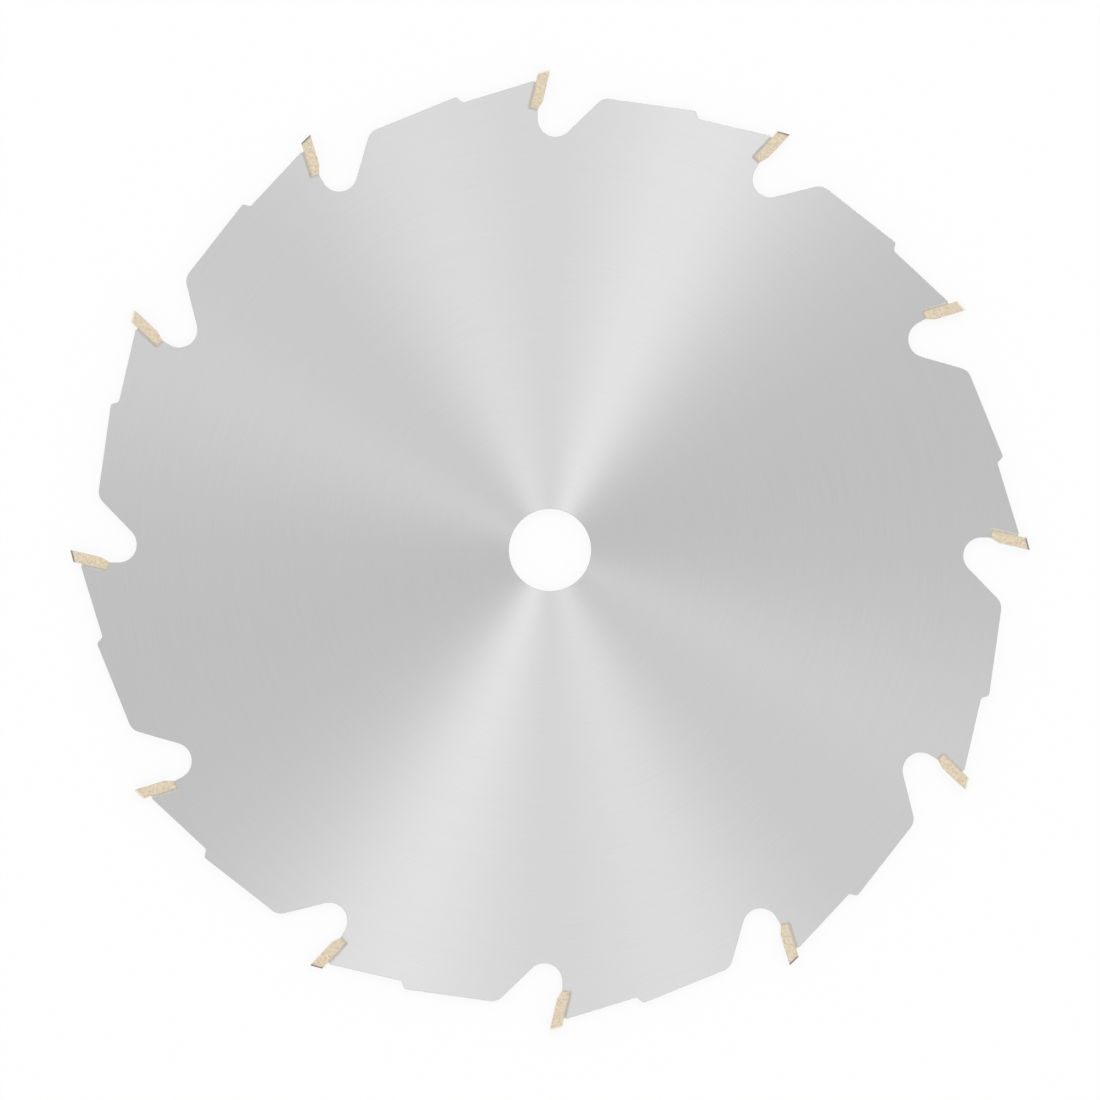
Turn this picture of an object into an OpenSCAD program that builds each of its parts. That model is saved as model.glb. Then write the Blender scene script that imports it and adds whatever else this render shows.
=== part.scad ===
// Carbide-tipped circular saw blade with a few large teeth, chip limiters and alternate top bevels.
// The blade lies in the XY plane with its arbor axis on Z, the origin at the bore's centre at mid thickness.
// Seen from +Z it cuts clockwise. Tooth 1 stands at the top, on +Y, and the others follow clockwise.

/* [Blade] */
// Cutting diameter, over the tips
blade_dia = 185; // [170:1:210]
// Arbor bore diameter
bore_dia = 15.88; // [10:0.01:30]
// Thickness of the steel plate
plate_t = 1.6; // [1.2:0.1:1.9]
// Number of teeth, even because the top bevels alternate
teeth = 12; // [10:2:14]

/* [Carbide tip] */
// Width of cut, over the two sides of a tip
kerf = 2.4; // [2.3:0.1:3.2]
// Thickness of a tip, from its rake face to its back
tip_t = 2.1; // [1.8:0.1:2.6]
// Length of a tip along its rake face, from the cutting edge to the foot
tip_len = 7.9; // [7.2:0.1:8.6]
// Length of the flat rake face above the slanted front of the foot
rake_len = 6.1; // [4.5:0.1:6.8]
// Thickness of a tip at the bottom of its foot
foot_t = 1.5; // [1.1:0.1:1.7]
// Hook angle, of the rake face against the tooth's radius
hook_angle = 13; // [8:1:18]
// Top clearance, of the top face against the cutting circle
top_clearance = 14; // [10:1:18]
// Alternate top bevel, across the width of the tip
top_bevel = 10; // [5:1:15]
// Side clearance towards the blade's centre
radial_relief = 1; // [0.5:0.1:1.5]
// Side clearance towards the back of the tip
tangential_relief = 2.5; // [1:0.1:3]
// Thickness of the braze film behind and under a tip
braze_t = 0.2; // [0.1:0.01:0.3]

/* [Tooth back] */
// How far the cutting edge stands above the tooth's top corner, along the tip
tip_stand = 2.65; // [2:0.05:3.2]
// Rounding of the tooth's top corner
corner_r = 0.3; // [0.2:0.05:0.5]
// Slope of the back behind the tip
back_slope = 17; // [14:1:20]
// Length of the back behind the tip, to the notch
back_len = 14.6; // [12:0.1:16]
// Slope of the step up to the chip limiter
step_slope = 43; // [35:1:55]
// Length of the step
step_len = 1.62; // [1.3:0.02:2]
// Rounding of the notch and of the limiter's corner
step_r = 0.6; // [0.3:0.05:0.7]
// Slope of the back behind the limiter
limiter_slope = 22; // [19:1:25]
// Rounding of the shoulder above the next gullet
shoulder_r = 2.8; // [1.5:0.1:4]

/* [Gullet] */
// Depth of the gullet under the cutting edge, along the tooth's radius
gullet_depth = 12.9; // [11.5:0.1:15]
// Radius of the gullet's root
gullet_r = 3.5; // [2.5:0.1:4]
// Slope of the gullet's far flank
flank_slope = 44; // [40:1:50]

/* [Hidden] */
tip_r = blade_dia / 2;
pitch = 360 / teeth;
// Reach of the grinding cuts, longer than any tip
grind = 2 * tip_len;
// How far the bore's cutter runs past each face of the plate
overrun = 1;
// Arcs are this much wider than their tangent circle, so that they cross the sides that they blend
arc_overlap = 1.002;
seat_back = -(tip_t + braze_t);
seat_floor = -(tip_len + braze_t);
foot_front = foot_t - tip_t;
$fn = 96;

function two_digits(i) = str(i < 10 ? "0" : "", i);
function tip_name(i) = str("carbide_tip_", two_digits(i));
function braze_name(i) = str("braze_film_", two_digits(i));

// Plane geometry: a unit direction, a turn about the origin, and where two lines meet
function direction(angle) = [cos(angle), sin(angle)];
function turned(p, angle) = [
    p[0] * cos(angle) - p[1] * sin(angle),
    p[0] * sin(angle) + p[1] * cos(angle)
];
function meeting(p, u, q, v) = p + u * cross(q - p, v) / cross(u, v);

// A point of the tip's own plane, which has the cutting edge at zero and the rake face up its Y axis
function in_tooth(p) = [0, tip_r] + turned(p, -hook_angle);

// The corners of one tooth, apex on +Y, in anticlockwise order from its gullet to the next shoulder
seat_front_p = in_tooth([foot_front, seat_floor]);
seat_inner_p = in_tooth([seat_back, seat_floor]);
back_corner_p = in_tooth([seat_back, -tip_stand]);
notch_p = back_corner_p + back_len * direction(180 + back_slope);
limiter_p = notch_p + step_len * direction(180 - step_slope);
gullet_p = [seat_front_p[0] + gullet_r, tip_r - gullet_depth + gullet_r];
flank_p = gullet_p + gullet_r * direction(flank_slope - 90);
flank_u = direction(flank_slope);
root_p = meeting(seat_front_p, direction(-90), flank_p, flank_u);
shoulder_p = meeting(
    limiter_p, direction(180 + limiter_slope),
    turned(flank_p, pitch), turned(flank_u, pitch)
);

// Each corner of a tooth with the radius that rounds it
tooth_corners = [
    [root_p, gullet_r],
    [seat_front_p, 0],
    [seat_inner_p, 0],
    [back_corner_p, corner_r],
    [notch_p, step_r],
    [limiter_p, step_r],
    [shoulder_p, shoulder_r]
];
// Place of the tooth's top corner in that list
top_corner = 3;
plate_corners = [
    for (i = [0:teeth - 1]) for (c = tooth_corners) [turned(c[0], i * pitch), c[1]]
];

// Rounding of corner i of an outline: how far it turns, where its arc starts and ends, and its centre
function corner_at(corners, i) = corners[(i + len(corners)) % len(corners)];
function unit(v) = v / norm(v);
function way_in(corners, i) = unit(corner_at(corners, i)[0] - corner_at(corners, i - 1)[0]);
function way_out(corners, i) = way_in(corners, i + 1);
function bend(corners, i) =
    let (u = way_in(corners, i), v = way_out(corners, i)) atan2(cross(u, v), u * v);
function cut_back(corners, i) = corners[i][1] * tan(abs(bend(corners, i)) / 2);
function arc_start(corners, i) = corners[i][0] - cut_back(corners, i) * way_in(corners, i);
function arc_end(corners, i) = corners[i][0] + cut_back(corners, i) * way_out(corners, i);
function arc_centre(corners, i) =
    arc_start(corners, i) + corners[i][1] * sign(bend(corners, i)) * turned(way_in(corners, i), 90);

// A closed outline with true arcs: chords first, then outer roundings added and inner ones cut
module rounded_outline(corners) {
    rounded = [for (i = [0:len(corners) - 1]) if (corners[i][1] > 0) i];
    difference() {
        union() {
            polygon([
                for (i = [0:len(corners) - 1]) each corners[i][1] > 0
                    ? [arc_start(corners, i), arc_end(corners, i)]
                    : [corners[i][0]]
            ]);
            for (i = rounded) {
                if (bend(corners, i) > 0) corner_disc(corners, i);
            }
        }
        for (i = rounded) {
            if (bend(corners, i) < 0) corner_disc(corners, i);
        }
    }
}

module corner_disc(corners, i) {
    translate(arc_centre(corners, i)) circle(r = corners[i][1] * arc_overlap);
}

// Puts a shape drawn in the tip's own plane at tooth i
module at_tooth(i) {
    rotate((1 - i) * pitch) translate([0, tip_r]) rotate(-hook_angle) children();
}

module blade_body() {
    color([0.80, 0.80, 0.80]) difference() {
        linear_extrude(height = plate_t, center = true) rounded_outline(plate_corners);
        cylinder(d = bore_dia, h = plate_t + 2 * overrun, center = true);
    }
}

// The side of a tip as pressed and brazed, before its sides and top are ground
module tip_side() {
    polygon([
        [0, 0],
        [-tip_t, -tip_t * tan(hook_angle + top_clearance)],
        [-tip_t, -tip_len],
        [foot_front, -tip_len],
        [0, -rake_len]
    ]);
}

// What the side grinding takes off the +Z side: it leaves full width only at the cutting corner
module side_grind() {
    translate([0, 0, kerf / 2]) rotate([radial_relief, -tangential_relief, 0])
        translate([-grind / 2, -grind / 2, grind / 2]) cube([2 * grind, 2 * grind, grind], center = true);
}

// What the top grinding takes off: the high corner is on +Z where side is 1, on -Z where it is -1
module top_grind(side) {
    translate([0, 0, side * kerf / 2]) rotate(hook_angle + top_clearance) rotate([-side * top_bevel, 0, 0])
        translate([0, grind / 2, 0]) cube([2 * grind, grind, 2 * grind], center = true);
}

module carbide_tip(i) {
    color([0.90, 0.84, 0.72]) at_tooth(i) difference() {
        linear_extrude(height = kerf, center = true) tip_side();
        side_grind();
        mirror([0, 0, 1]) side_grind();
        top_grind(i % 2 == 1 ? 1 : -1);
    }
}

// The solder ends its own thickness below the rounding of the tooth's top corner
module braze_film(i) {
    top = -tip_stand - cut_back(plate_corners, top_corner) - braze_t;
    color([0.66, 0.64, 0.58]) at_tooth(i) linear_extrude(height = plate_t, center = true) polygon([
        [-tip_t, top],
        [seat_back, top],
        [seat_back, seat_floor],
        [foot_front, seat_floor],
        [foot_front, -tip_len],
        [-tip_t, -tip_len]
    ]);
}

blade_body();
for (i = [1:teeth]) {
    carbide_tip(i);
    braze_film(i);
}
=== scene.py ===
"""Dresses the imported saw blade: a circle-ground steel plate, brazed carbide tips and a white studio.

Sizes are in millimetres and degrees, as a maker would write them, and become metres when a mesh is made.
The blade lies in the XY plane with its arbor axis on Z. Tooth 1 stands on +Y and the others follow clockwise.
"""

import sys

import logging
import math
from dataclasses import dataclass, field
from enum import Enum, IntEnum
from itertools import accumulate, combinations
from types import MappingProxyType
from typing import Mapping, Sequence, Union

import bpy
from mathutils import Matrix, Vector
from mathutils.geometry import delaunay_2d_cdt, intersect_point_line


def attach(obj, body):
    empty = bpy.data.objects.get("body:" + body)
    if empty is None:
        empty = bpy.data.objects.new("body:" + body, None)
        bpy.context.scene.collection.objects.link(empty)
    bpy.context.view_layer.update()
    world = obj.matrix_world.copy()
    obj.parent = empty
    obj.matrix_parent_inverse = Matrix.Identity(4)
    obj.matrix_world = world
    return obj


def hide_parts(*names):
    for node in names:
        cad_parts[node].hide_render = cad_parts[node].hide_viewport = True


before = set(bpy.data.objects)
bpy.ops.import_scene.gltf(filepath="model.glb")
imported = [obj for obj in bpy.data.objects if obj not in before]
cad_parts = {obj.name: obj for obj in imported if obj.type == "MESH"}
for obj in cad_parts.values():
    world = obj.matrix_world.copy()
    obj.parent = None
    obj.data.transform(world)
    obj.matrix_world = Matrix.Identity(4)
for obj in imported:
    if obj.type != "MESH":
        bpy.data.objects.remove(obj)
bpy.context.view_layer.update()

LOG = logging.getLogger("saw_blade")
MM = 0.001
BODY = "root"
ZONE = "zone"
PITCH = "pitch"
TIP_PLANE = "tip_plane"
SEAM_PART = "part"
# The name of a piece's own map
BAKE_MAP = "OFBake"
# Blender's noise lies evenly about this level
NOISE_MEAN = 0.5
# Whole numbers nearer than this are the same number
SAME_WITHIN = 0.5
# Lengths and spans under this count as nothing
TINY = 1e-6
# Blender's number for triangles out to the convex hull
TO_THE_HULL = 0

Colour = tuple[float, float, float]
Place = tuple[float, float]
Stops = tuple[tuple[float, float], ...]
Number = Union[int, float]
Feed = Union["Signal", bpy.types.NodeSocket, bpy.types.ID, Number, bool, Sequence[float]]
Settings = Mapping[str, object]
Inputs = Mapping[Union[str, int], Feed]
NOTHING: Mapping = MappingProxyType({})


class Slot(Enum):
    """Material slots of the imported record."""

    PLATE = "plate_steel"
    CARBIDE = "carbide"
    BRAZE = "braze"


class PlateZone(IntEnum):
    """Surfaces of the steel plate that differ in finish."""

    FACE = 0
    RIM = 1
    BORE = 2


class TipZone(IntEnum):
    """Surfaces of a carbide tip that differ in finish."""

    SIDE = 0
    TOP = 1
    RAKE = 2


class SeamPart(IntEnum):
    """Lines that the solder seam is swept from."""

    PATH = 0
    SECTION = 1


class SocketKind(Enum):
    """Kinds of named inputs of a Geometry Nodes tree."""

    NUMBER = "NodeSocketFloat"
    COUNT = "NodeSocketInt"
    MATERIAL = "NodeSocketMaterial"


# What at_tooth needs
TOOTH_INPUTS = dict.fromkeys(("Hook", "Radius", "Turn"), SocketKind.NUMBER)


# Node trees


class Signal:
    """A value in a node tree that takes part in Python arithmetic."""

    def __init__(self, graph: "NodeGraph", socket: bpy.types.NodeSocket) -> None:
        """Keeps the socket and the tree that it belongs to."""
        self.graph = graph
        self.socket = socket

    def _math(self, operation: str, *terms: Feed) -> "Signal":
        """Adds one Math node.

        Args:
            operation: The Math node's operation.
            terms: Its inputs in order.

        Returns:
            The node's result.
        """
        node = self.graph.node("ShaderNodeMath", {"operation": operation}, dict(enumerate(terms)))
        return Signal(self.graph, node.outputs[0])

    def __add__(self, other: Feed) -> "Signal":
        """Sum."""
        return self._math("ADD", self, other)

    __radd__ = __add__

    def __mul__(self, other: Feed) -> "Signal":
        """Product."""
        return self._math("MULTIPLY", self, other)

    __rmul__ = __mul__

    def __sub__(self, other: Feed) -> "Signal":
        """Difference."""
        return self._math("SUBTRACT", self, other)

    def __rsub__(self, other: Feed) -> "Signal":
        """Difference, taken from a number."""
        return self._math("SUBTRACT", other, self)

    def __truediv__(self, other: Feed) -> "Signal":
        """Quotient."""
        return self._math("DIVIDE", self, other)

    def __pow__(self, other: Feed) -> "Signal":
        """Power."""
        return self._math("POWER", self, other)

    def is_equal(self, other: Feed) -> "Signal":
        """1 where the two are equal, else 0."""
        return self._math("COMPARE", self, other, SAME_WITHIN)

    def limited(self) -> "Signal":
        """The value held between 0 and 1."""
        return self._math("MINIMUM", self._math("MAXIMUM", self, 0.0), 1.0)


class NodeGraph:
    """Adds nodes to one tree."""

    def __init__(self, tree: bpy.types.NodeTree) -> None:
        """Starts from an empty tree."""
        self.tree = tree
        tree.nodes.clear()

    def node(self, kind: str, settings: Settings = NOTHING, inputs: Inputs = NOTHING) -> bpy.types.Node:
        """Adds a node, sets it up, and then feeds its sockets.

        Args:
            kind: The node's type.
            settings: Its own settings; "stops" holds a colour ramp's places and grey levels.
            inputs: Values or links by the socket's name or number.

        Returns:
            The new node.
        """
        node = self.tree.nodes.new(kind)
        for name, value in settings.items():
            if name == "stops":
                self._set_stops(node.color_ramp, value)
            else:
                setattr(node, name, value)
        for key, value in inputs.items():
            self.feed(node.inputs[key], value)
        return node

    def feed(self, target: bpy.types.NodeSocket, value: Feed) -> None:
        """Links a socket, or sets its value.

        Args:
            target: The input socket.
            value: A signal or socket to link, or a plain value.
        """
        source = value.socket if isinstance(value, Signal) else value
        if isinstance(source, bpy.types.NodeSocket):
            self.tree.links.new(source, target)
        elif target.type == "RGBA" and len(source) == 3:
            target.default_value = (*source, 1.0)
        else:
            target.default_value = source

    def value(self, kind: str, output: str, settings: Settings = NOTHING, **inputs: Feed) -> Signal:
        """Adds a node and takes one of its outputs as a signal.

        Args:
            kind: The node's type.
            output: The name of the output.
            settings: The node's settings.
            inputs: Values or links by socket name.

        Returns:
            That output.
        """
        return Signal(self, self.node(kind, settings, inputs).outputs[output])

    def vector(self, x: Feed = 0.0, y: Feed = 0.0, z: Feed = 0.0) -> bpy.types.NodeSocket:
        """A vector of three values."""
        return self.node("ShaderNodeCombineXYZ", {}, {"X": x, "Y": y, "Z": z}).outputs[0]

    def parts(self, vector: bpy.types.NodeSocket) -> tuple[Signal, ...]:
        """X, Y and Z of a vector."""
        node = self.node("ShaderNodeSeparateXYZ", {}, {"Vector": vector})
        return tuple(Signal(self, output) for output in node.outputs)

    def scaled(self, vector: bpy.types.NodeSocket, factor: Feed) -> bpy.types.NodeSocket:
        """A vector times a value."""
        inputs = {"Vector": vector, "Scale": factor}
        return self.node("ShaderNodeVectorMath", {"operation": "SCALE"}, inputs).outputs[0]

    @staticmethod
    def _set_stops(ramp: bpy.types.ColorRamp, stops: Stops) -> None:
        """Writes the stops of a grey ramp.

        Args:
            ramp: The ramp.
            stops: Place and grey level of each stop, first to last.
        """
        while len(ramp.elements) < len(stops):
            ramp.elements.new(1.0)
        for element, (place, level) in zip(ramp.elements, stops):
            element.position = place
            element.color = (level, level, level, 1.0)


class ShaderGraph(NodeGraph):
    """The node tree of one material, with the patterns that the finishes share."""

    line_detail = 2.0
    line_rough = 0.6

    def __init__(self, name: str) -> None:
        """Makes an empty material of that name."""
        self.material = bpy.data.materials.new(name)
        self.material.use_nodes = True
        super().__init__(self.material.node_tree)
        self._xyz: tuple[Signal, ...] = ()

    def millimetres(self) -> tuple[Signal, ...]:
        """Reads the place on the object.

        Returns:
            X, Y and Z in millimetres.
        """
        if not self._xyz:
            place = self.node("ShaderNodeTexCoord").outputs["Object"]
            self._xyz = self.parts(self.scaled(place, 1 / MM))
        return self._xyz

    def tip_plane(self) -> tuple[Signal, Signal]:
        """Reads the place in the plane of a tip.

        Returns:
            X and Y in millimetres.
        """
        x, y, _ = self.parts(self.node("ShaderNodeUVMap", {"uv_map": TIP_PLANE}).outputs[0])
        return x / MM, y / MM

    def noise(self, x: Feed, y: Feed, z: Feed, detail: float = 2.0, rough: float = 0.5) -> Signal:
        """Smooth noise at a point.

        Args:
            x: First coordinate, in cells of the noise.
            y: Second coordinate.
            z: Third coordinate.
            detail: How many finer layers are added.
            rough: How strong the finer layers are.

        Returns:
            The noise, which lies about NOISE_MEAN.
        """
        return self.value(
            "ShaderNodeTexNoise", "Fac", {"noise_dimensions": "3D"},
            Vector=self.vector(x, y, z), Scale=1.0, Detail=detail, Roughness=rough,
        )

    def lines(self, x: Feed, y: Feed, z: Feed) -> Signal:
        """Noise with crisp finer layers, as a tool's marks have them where one axis is drawn out."""
        return self.noise(x, y, z, self.line_detail, self.line_rough)

    def grain(self, per_mm: float, detail: float, rough: float = 0.5, shift: float = 0.0) -> Signal:
        """Noise that is alike in all directions.

        Args:
            per_mm: Its cells in a millimetre.
            detail: How many finer layers are added.
            rough: How strong the finer layers are.
            shift: How far it is moved, to part it from another noise.

        Returns:
            The noise, which lies about NOISE_MEAN.
        """
        x, y, z = (axis * per_mm for axis in self.millimetres())
        return self.noise(x + shift if shift else x, y, z, detail, rough)

    @staticmethod
    def varied(level: float, noise: Signal, spread: float) -> Signal:
        """A level that a noise moves up and down over a spread."""
        return (noise - NOISE_MEAN) * spread + level

    def ramp(self, signal: Signal, stops: Stops) -> Signal:
        """Grey ramp.

        Args:
            signal: What the ramp reads.
            stops: Place and level of each stop.

        Returns:
            The ramp's level.
        """
        node = self.node("ShaderNodeValToRGB", {"stops": stops}, {"Fac": signal})
        return Signal(self, node.outputs["Color"])

    def mixed(self, low: Feed, high: Feed, share: Feed) -> bpy.types.NodeSocket:
        """A colour between two.

        Args:
            low: The colour at share 0.
            high: The colour at share 1.
            share: The share of the second colour.

        Returns:
            The mixed colour.
        """
        node = self.node(
            "ShaderNodeMix", {"data_type": "RGBA", "clamp_factor": True}, {0: share, 6: low, 7: high}
        )
        return node.outputs[2]

    def bump(self, height: Feed, depth_mm: float, strength: float) -> bpy.types.NodeSocket:
        """A normal that follows a height.

        Args:
            height: The height from 0 to 1.
            depth_mm: How high 1 is, in millimetres.
            strength: The share of the effect.

        Returns:
            The bent normal.
        """
        node = self.node(
            "ShaderNodeBump", {}, {"Strength": strength, "Distance": depth_mm * MM, "Height": height}
        )
        return node.outputs["Normal"]

    def surface(self, inputs: Mapping[str, Feed]) -> bpy.types.Material:
        """Ends the tree in a Principled shader.

        Args:
            inputs: Values or links of its sockets.

        Returns:
            The finished material.
        """
        shader = self.node("ShaderNodeBsdfPrincipled", {}, inputs)
        self.node("ShaderNodeOutputMaterial", {}, {"Surface": shader.outputs[0]})
        return self.material


class GeometryGraph(NodeGraph):
    """A Geometry Nodes tree with named inputs, which turns one mesh into a finished piece."""

    def __init__(self, name: str, inputs: Mapping[str, SocketKind]) -> None:
        """Makes an empty tree.

        Args:
            name: The tree's name.
            inputs: The kind of each named input, beside the geometry.
        """
        tree = bpy.data.node_groups.new(name, "GeometryNodeTree")
        super().__init__(tree)
        tree.interface.new_socket("Geometry", in_out="INPUT", socket_type="NodeSocketGeometry")
        self.names = {
            key: tree.interface.new_socket(key, in_out="INPUT", socket_type=kind.value).identifier
            for key, kind in inputs.items()
        }
        tree.interface.new_socket("Geometry", in_out="OUTPUT", socket_type="NodeSocketGeometry")
        self.entry = self.node("NodeGroupInput")
        self.geometry = self.entry.outputs["Geometry"]

    def given(self, name: str) -> Signal:
        """The named input as a signal."""
        return Signal(self, self.entry.outputs[name])

    def attribute(self, name: str) -> Signal:
        """A whole number that the mesh carries."""
        return self.value("GeometryNodeInputNamedAttribute", "Attribute", {"data_type": "INT"}, Name=name)

    def position(self) -> bpy.types.NodeSocket:
        """The place of each point."""
        return self.node("GeometryNodeInputPosition").outputs[0]

    def moved(self, geometry: bpy.types.NodeSocket, offset: bpy.types.NodeSocket) -> bpy.types.NodeSocket:
        """The geometry with each point moved by its offset."""
        inputs = {"Geometry": geometry, "Offset": offset}
        return self.node("GeometryNodeSetPosition", {}, inputs).outputs[0]

    def stored(
        self, geometry: bpy.types.NodeSocket, name: str, value: Feed, kind: str, domain: str
    ) -> bpy.types.NodeSocket:
        """Writes a value on the geometry.

        Args:
            geometry: What it is written on.
            name: The attribute's name.
            value: The value.
            kind: The attribute's data type.
            domain: What carries it, such as a corner or an instance.

        Returns:
            The geometry with the attribute.
        """
        return self.node(
            "GeometryNodeStoreNamedAttribute", {"data_type": kind, "domain": domain},
            {"Geometry": geometry, "Name": name, "Value": value},
        ).outputs[0]

    def finish(self, geometry: bpy.types.NodeSocket, materials: Mapping[str, int | None]) -> None:
        """Realizes what was made, sets its materials and closes the tree.

        Args:
            geometry: What the tree has made.
            materials: Name of each material input, with the zone that it covers, or None for all. One for
                all comes first.
        """
        made = self.node("GeometryNodeRealizeInstances", {}, {"Geometry": geometry}).outputs[0]
        for name, zone in materials.items():
            inputs: dict[Union[str, int], Feed] = {"Geometry": made, "Material": self.given(name)}
            if zone is not None:
                inputs["Selection"] = self.attribute(ZONE).is_equal(int(zone))
            made = self.node("GeometryNodeSetMaterial", {}, inputs).outputs[0]
        self.node("NodeGroupOutput", {}, {"Geometry": made})

    def run(self, piece: bpy.types.Object, values: Mapping[str, object]) -> None:
        """Puts the tree on a piece, and turns the result into the piece's own plain mesh.

        Args:
            piece: The object that holds the mesh to start from.
            values: The value of each named input.
        """
        modifier = piece.modifiers.new(self.tree.name, "NODES")
        modifier.node_group = self.tree
        for name, value in values.items():
            modifier[self.names[name]] = value
        bpy.context.view_layer.update()
        graph = bpy.context.evaluated_depsgraph_get()
        made = bpy.data.meshes.new_from_object(piece.evaluated_get(graph), depsgraph=graph)
        source = piece.data
        piece.modifiers.clear()
        piece.data = made
        made.name = piece.name
        bpy.data.meshes.remove(source)


# Meshes and plane geometry


def linked(name: str, data: bpy.types.ID) -> bpy.types.Object:
    """Puts an object at the origin of the scene.

    Args:
        name: The object's name.
        data: Its mesh, lamp or camera.

    Returns:
        The object.
    """
    made = bpy.data.objects.new(name, data)
    bpy.context.scene.collection.objects.link(made)
    return made


@dataclass
class MeshDraft:
    """Points and faces of a mesh while it is drawn, in millimetres."""

    points: list[Vector] = field(default_factory=list)
    faces: list[tuple[int, ...]] = field(default_factory=list)
    zones: list[int] = field(default_factory=list)
    places: list[Place] = field(default_factory=list)

    def row(self, points: Sequence[Vector]) -> list[int]:
        """Adds points.

        Args:
            points: The points.

        Returns:
            Their numbers.
        """
        first = len(self.points)
        self.points.extend(points)
        return list(range(first, len(self.points)))

    def face(self, corners: Sequence[int], zone: int) -> None:
        """Adds one face of a zone."""
        self.faces.append(tuple(corners))
        self.zones.append(int(zone))

    def strip(self, low: Sequence[int], high: Sequence[int], zone: int) -> None:
        """Adds quads between two rows of points.

        Args:
            low: The row on the right of the way along it, seen from outside.
            high: The row on the left.
            zone: The zone of the quads.
        """
        for i in range(len(low) - 1):
            self.face((low[i], low[i + 1], high[i + 1], high[i]), zone)

    def piece(self, name: str) -> bpy.types.Object:
        """Makes an object of the draft.

        Args:
            name: The object's name.

        Returns:
            The object, with the zone of each face as an attribute. Where the draft has places, one for each
            corner of each face, they are its map.
        """
        mesh = bpy.data.meshes.new(name)
        mesh.from_pydata([p * MM for p in self.points], [], self.faces)
        zones = mesh.attributes.new(ZONE, "INT", "FACE")
        zones.data.foreach_set("value", self.zones)
        if self.places:
            flat = [share for place in self.places for share in place]
            mesh.uv_layers.new(name=BAKE_MAP).data.foreach_set("uv", flat)
        mesh.update()
        return linked(name, mesh)


def smooth(mesh: bpy.types.Mesh, angle: float) -> None:
    """Shades a mesh smooth and takes the helping numbers off it.

    Args:
        mesh: The mesh.
        angle: The bend in degrees above which an edge stays sharp.
    """
    mesh.shade_smooth()
    mesh.set_sharp_from_angle(angle=math.radians(angle))
    for name in (ZONE, PITCH):
        if name in mesh.attributes:
            mesh.attributes.remove(mesh.attributes[name])


def direction(angle: float) -> Vector:
    """Unit vector of the plane at an angle."""
    return Vector((math.cos(math.radians(angle)), math.sin(math.radians(angle))))


def turned(point: Vector, angle: float) -> Vector:
    """A point of the plane, turned about the origin."""
    return Matrix.Rotation(math.radians(angle), 2) @ point


def cross(a: Vector, b: Vector) -> float:
    """How far b lies to the left of a."""
    return a.x * b.y - a.y * b.x


def meeting(p: Vector, u: Vector, q: Vector, v: Vector) -> Vector:
    """Where the line from p along u meets the line from q along v."""
    return p + u * (cross(q - p, v) / cross(u, v))


def spaced(start: Vector, end: Vector, step: float) -> list[Vector]:
    """Points from start to end, at most a step apart."""
    count = math.ceil((end - start).length / step)
    return [start.lerp(end, i / count) for i in range(count + 1)]


def shares(points: Sequence[Vector]) -> list[float]:
    """How much of a line's length lies before each of its points."""
    lengths = [0.0, *accumulate((b - a).length for a, b in zip(points, points[1:]))]
    return [length / lengths[-1] for length in lengths]


def raised(point: Vector, z: float) -> Vector:
    """A point of the plane at a height."""
    return Vector((point.x, point.y, z))


# Sizes of the blade


@dataclass(frozen=True)
class BladeSizes:
    """The plate as a whole."""

    diameter: float = 185.0
    bore: float = 15.88
    plate: float = 1.6
    teeth: int = 12
    edge_break: float = 0.06

    @property
    def tip_r(self) -> float:
        """Radius of the cutting circle."""
        return self.diameter / 2

    @property
    def pitch(self) -> float:
        """Angle from tooth to tooth."""
        return 360 / self.teeth


@dataclass(frozen=True)
class TipSizes:
    """One carbide tip, in its own plane: cutting edge at zero, rake face up the Y axis."""

    kerf: float = 2.4
    thick: float = 2.1
    length: float = 7.9
    rake: float = 6.1
    foot: float = 1.5
    hook: float = 13.0
    top_clearance: float = 14.0
    top_bevel: float = 10.0
    radial_relief: float = 1.0
    tangential_relief: float = 2.5
    braze: float = 0.2
    honed: float = 0.02
    pressed: float = 0.08

    @property
    def foot_front(self) -> float:
        """Place of the foot's front edge."""
        return self.foot - self.thick

    @property
    def seat_back(self) -> float:
        """Place of the seat's back wall."""
        return -(self.thick + self.braze)

    @property
    def seat_floor(self) -> float:
        """Place of the seat's floor."""
        return -(self.length + self.braze)

    @property
    def top_slope(self) -> float:
        """Slope of the top face in the tip's plane."""
        return self.hook + self.top_clearance


@dataclass(frozen=True)
class ToothSizes:
    """The plate's outline round one tooth."""

    tip_stand: float = 2.65
    corner_r: float = 0.3
    back_slope: float = 17.0
    back_len: float = 14.6
    step_slope: float = 43.0
    step_len: float = 1.62
    step_r: float = 0.6
    limiter_slope: float = 22.0
    shoulder_r: float = 2.8
    gullet_depth: float = 12.9
    gullet_r: float = 3.5
    flank_slope: float = 44.0


@dataclass(frozen=True)
class Corner:
    """A corner of an outline with the radius that rounds it."""

    place: Vector
    radius: float

    def turned(self, angle: float) -> "Corner":
        """The same corner, turned about the blade's axis."""
        return Corner(turned(self.place, angle), self.radius)


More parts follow.
